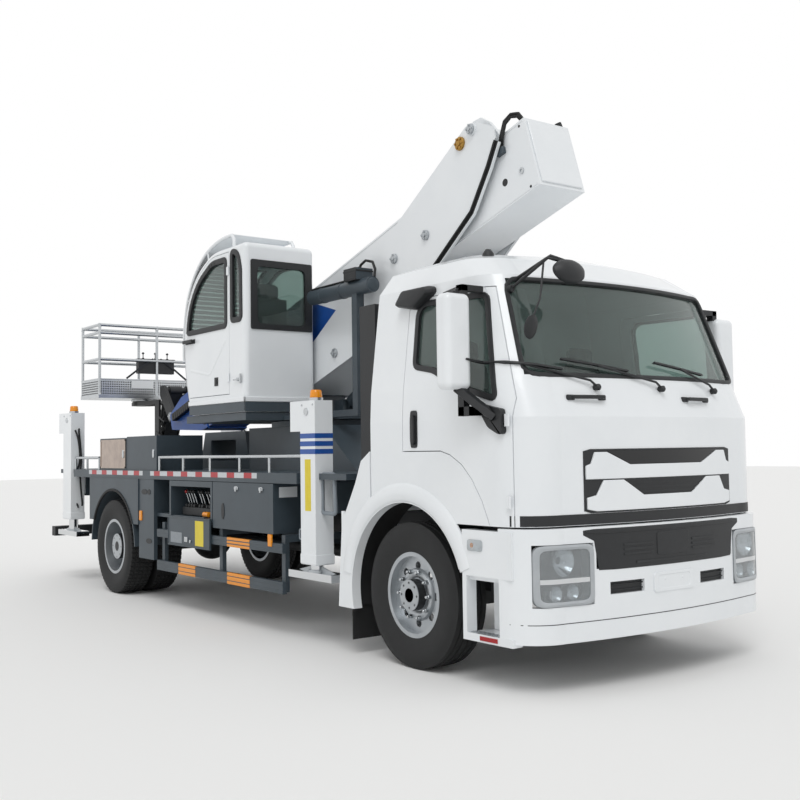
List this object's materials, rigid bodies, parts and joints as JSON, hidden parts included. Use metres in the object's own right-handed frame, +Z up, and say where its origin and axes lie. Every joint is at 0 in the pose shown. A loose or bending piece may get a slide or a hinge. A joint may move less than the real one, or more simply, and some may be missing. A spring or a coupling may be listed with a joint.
{
  "type": "cherry picker truck",
  "caption": "Two-axle cab-over lorry with four jack legs, a slewing turret with an operator's cabin, a knuckled telescopic boom and a wide work basket.",
  "frame": {"origin": "on the ground under the middle of the machine's box", "axes": "+X to the front of the lorry, +Y to its left, +Z up"},
  "size_m": [9.165, 3, 4.22],
  "materials": {
    "white_paint": "gloss lacquer",
    "slate_paint": "satin",
    "blue_paint": "satin",
    "dark_steel": "satin black chassis paint",
    "glass": "tinted clear",
    "black_plastic": "grained",
    "tyre": "matt",
    "wheel_silver": "satin silver",
    "chrome": "polished",
    "aluminium": "mill finish",
    "lamp_glass": "clear",
    "red_lens": "clear",
    "seat_fabric": "woven"
  },
  "bodies": {
    "chassis": {"chassis_frame": "dark_steel", "axles": "dark_steel", "engine": "dark_steel", "cab_shell": "white_paint", "cab_glass": "glass", "cab_fittings": "seat_fabric", "front_bumper": "white_paint", "headlamps": "lamp_glass", "air_intakes": "black_plastic", "handrails": "aluminium", "deck": "slate_paint", "side_boxes": "slate_paint", "side_guards": "slate_paint", "wheel_arches": "slate_paint", "front_wings": "white_paint", "deck_lockers": "slate_paint", "boom_rest": "slate_paint", "pedestal": "slate_paint", "tail_lamps": "red_lens", "outrigger_box_front": "slate_paint", "outrigger_box_rear": "slate_paint"},
    "knuckle_right": {"knuckle_right": "dark_steel"},
    "front_wheel_right": {"front_tyre_right": "tyre", "front_rim_right": "wheel_silver"},
    "rear_wheels_right": {"rear_tyres_right": "tyre", "rear_rims_right": "wheel_silver"},
    "cab_door_right": {"cab_door_right": "white_paint", "cab_door_glass_right": "glass"},
    "leg_front_right": {"outrigger_leg_front_right": "white_paint"},
    "jack_front_right": {"jack_front_right": "chrome"},
    "leg_rear_right": {"outrigger_leg_rear_right": "white_paint"},
    "jack_rear_right": {"jack_rear_right": "chrome"},
    "knuckle_left": {"knuckle_left": "dark_steel"},
    "front_wheel_left": {"front_tyre_left": "tyre", "front_rim_left": "wheel_silver"},
    "rear_wheels_left": {"rear_tyres_left": "tyre", "rear_rims_left": "wheel_silver"},
    "cab_door_left": {"cab_door_left": "white_paint", "cab_door_glass_left": "glass"},
    "leg_front_left": {"outrigger_leg_front_left": "white_paint"},
    "jack_front_left": {"jack_front_left": "chrome"},
    "leg_rear_left": {"outrigger_leg_rear_left": "white_paint"},
    "jack_rear_left": {"jack_rear_left": "chrome"},
    "turret": {"turret": "slate_paint", "operator_cabin": "white_paint", "operator_cabin_glass": "glass", "operator_seat": "seat_fabric"},
    "operator_door": {"operator_door": "white_paint", "operator_door_glass": "glass"},
    "lower_boom": {"lower_boom": "white_paint"},
    "lift_barrel": {"lift_barrel": "slate_paint"},
    "lift_rod": {"lift_rod": "chrome"},
    "upper_boom": {"upper_boom": "white_paint"},
    "middle_boom": {"middle_boom": "aluminium"},
    "inner_boom": {"inner_boom": "blue_paint"},
    "jib_head": {"jib_head": "black_plastic"},
    "jib": {"jib": "black_plastic"},
    "basket_bracket": {"basket_bracket": "black_plastic"},
    "basket": {"basket": "aluminium"},
    "control_lid": {"control_lid": "slate_paint"}
  },
  "joints": [
    {"name": "steer_right", "type": "hinge", "parent": "chassis", "child": "knuckle_right", "pos_m": [3.165, -0.8, 0.522], "axis": [0, 0, 1], "range_deg": [-32, 32]},
    {"name": "front_wheel_spin_right", "type": "hinge", "parent": "knuckle_right", "child": "front_wheel_right", "pos_m": [3.165, -1.027, 0.522], "axis": [0, 1, 0], "continuous": true},
    {"name": "rear_wheels_spin_right", "type": "hinge", "parent": "chassis", "child": "rear_wheels_right", "pos_m": [-2.343, -0.92, 0.522], "axis": [0, 1, 0], "continuous": true},
    {"name": "cab_door_open_right", "type": "hinge", "parent": "chassis", "child": "cab_door_right", "pos_m": [4.3, -1.226, 1.6], "axis": [0, 0, 1], "range_deg": [0, 70]},
    {"name": "leg_out_front_right", "type": "slide", "parent": "chassis", "child": "leg_front_right", "axis": [0, -1, 0], "range_m": [0, 0.75]},
    {"name": "jack_down_front_right", "type": "slide", "parent": "leg_front_right", "child": "jack_front_right", "axis": [0, 0, -1], "range_m": [0, 0.55]},
    {"name": "leg_out_rear_right", "type": "slide", "parent": "chassis", "child": "leg_rear_right", "axis": [0, -1, 0], "range_m": [0, 0.75]},
    {"name": "jack_down_rear_right", "type": "slide", "parent": "leg_rear_right", "child": "jack_rear_right", "axis": [0, 0, -1], "range_m": [0, 0.55]},
    {"name": "steer_left", "type": "hinge", "parent": "chassis", "child": "knuckle_left", "pos_m": [3.165, 0.8, 0.522], "axis": [0, 0, 1], "range_deg": [-32, 32]},
    {"name": "front_wheel_spin_left", "type": "hinge", "parent": "knuckle_left", "child": "front_wheel_left", "pos_m": [3.165, 1.027, 0.522], "axis": [0, 1, 0], "continuous": true},
    {"name": "rear_wheels_spin_left", "type": "hinge", "parent": "chassis", "child": "rear_wheels_left", "pos_m": [-2.343, 0.92, 0.522], "axis": [0, 1, 0], "continuous": true},
    {"name": "cab_door_open_left", "type": "hinge", "parent": "chassis", "child": "cab_door_left", "pos_m": [4.3, 1.226, 1.6], "axis": [0, 0, -1], "range_deg": [0, 70]},
    {"name": "leg_out_front_left", "type": "slide", "parent": "chassis", "child": "leg_front_left", "axis": [0, 1, 0], "range_m": [0, 0.75]},
    {"name": "jack_down_front_left", "type": "slide", "parent": "leg_front_left", "child": "jack_front_left", "axis": [0, 0, -1], "range_m": [0, 0.55]},
    {"name": "leg_out_rear_left", "type": "slide", "parent": "chassis", "child": "leg_rear_left", "axis": [0, 1, 0], "range_m": [0, 0.75]},
    {"name": "jack_down_rear_left", "type": "slide", "parent": "leg_rear_left", "child": "jack_rear_left", "axis": [0, 0, -1], "range_m": [0, 0.55]},
    {"name": "slew", "type": "hinge", "parent": "chassis", "child": "turret", "pos_m": [0.415, 0, 1.87], "axis": [0, 0, 1], "range_deg": [-120, 120]},
    {"name": "operator_door_open", "type": "hinge", "parent": "turret", "child": "operator_door", "pos_m": [0.262, -1.11, 2.7], "axis": [0, 0, 1], "range_deg": [0, 95]},
    {"name": "boom_unfold", "type": "hinge", "parent": "lower_boom", "child": "upper_boom", "pos_m": [2.92, 0, 4.12], "axis": [0, 1, 0], "range_deg": [0, 150]},
    {"name": "lower_boom_luff", "type": "hinge", "parent": "turret", "child": "lower_boom", "pos_m": [0.015, 0, 2.2], "axis": [0, -1, 0], "range_deg": [0, 50.1]},
    {"name": "lift_barrel_swing", "type": "hinge", "parent": "turret", "child": "lift_barrel", "pos_m": [0.64, 0, 1.995], "axis": [0, -1, 0], "range_deg": [0, 58.1]},
    {"name": "lift_rod_stroke", "type": "slide", "parent": "lift_barrel", "child": "lift_rod", "axis": [0.8881, 0, 0.4596], "range_m": [0, 0.546]},
    {"name": "middle_boom_out", "type": "slide", "parent": "upper_boom", "child": "middle_boom", "axis": [-0.9573, 0, -0.289], "range_m": [0, 2.61]},
    {"name": "inner_boom_out", "type": "slide", "parent": "middle_boom", "child": "inner_boom", "axis": [-0.9573, 0, -0.289], "range_m": [0, 2.62]},
    {"name": "jib_head_level", "type": "hinge", "parent": "inner_boom", "child": "jib_head", "pos_m": [-3.085, 0, 2.02], "axis": [0, 1, 0], "range_deg": [-100.5, 0]},
    {"name": "jib_luff", "type": "hinge", "parent": "jib_head", "child": "jib", "pos_m": [-3.385, 0, 2.36], "axis": [0, 1, 0], "range_deg": [0, 130]},
    {"name": "basket_level", "type": "hinge", "parent": "jib", "child": "basket_bracket", "pos_m": [-3.655, 0, 1.62], "axis": [0, 1, 0], "range_deg": [-130.5, 0]},
    {"name": "basket_slew", "type": "hinge", "parent": "basket_bracket", "child": "basket", "pos_m": [-4.385, 0, 2.275], "axis": [0, 0, 1], "range_deg": [-90, 90]},
    {"name": "control_lid_swing", "type": "hinge", "parent": "chassis", "child": "control_lid", "pos_m": [-0.355, -1.2325, 0.936], "axis": [-1, 0, 0], "range_deg": [0, 178]}
  ],
  "couplings": [
    {"joint": "steer_left", "follows": "steer_right", "ratio": 1},
    {"joint": "lower_boom_luff", "follows": "boom_unfold", "ratio": 0.3333},
    {"joint": "lift_barrel_swing", "follows": "boom_unfold", "ratio": 0.3805},
    {"joint": "lift_rod_stroke", "follows": "boom_unfold", "m_per_rad": 0.2046},
    {"joint": "jib_head_level", "follows": "boom_unfold", "ratio": -0.6667},
    {"joint": "middle_boom_out", "follows": "boom_unfold", "m_per_rad": 0.993},
    {"joint": "inner_boom_out", "follows": "boom_unfold", "m_per_rad": 0.993},
    {"joint": "basket_level", "follows": "jib_luff", "ratio": -1}
  ]
}
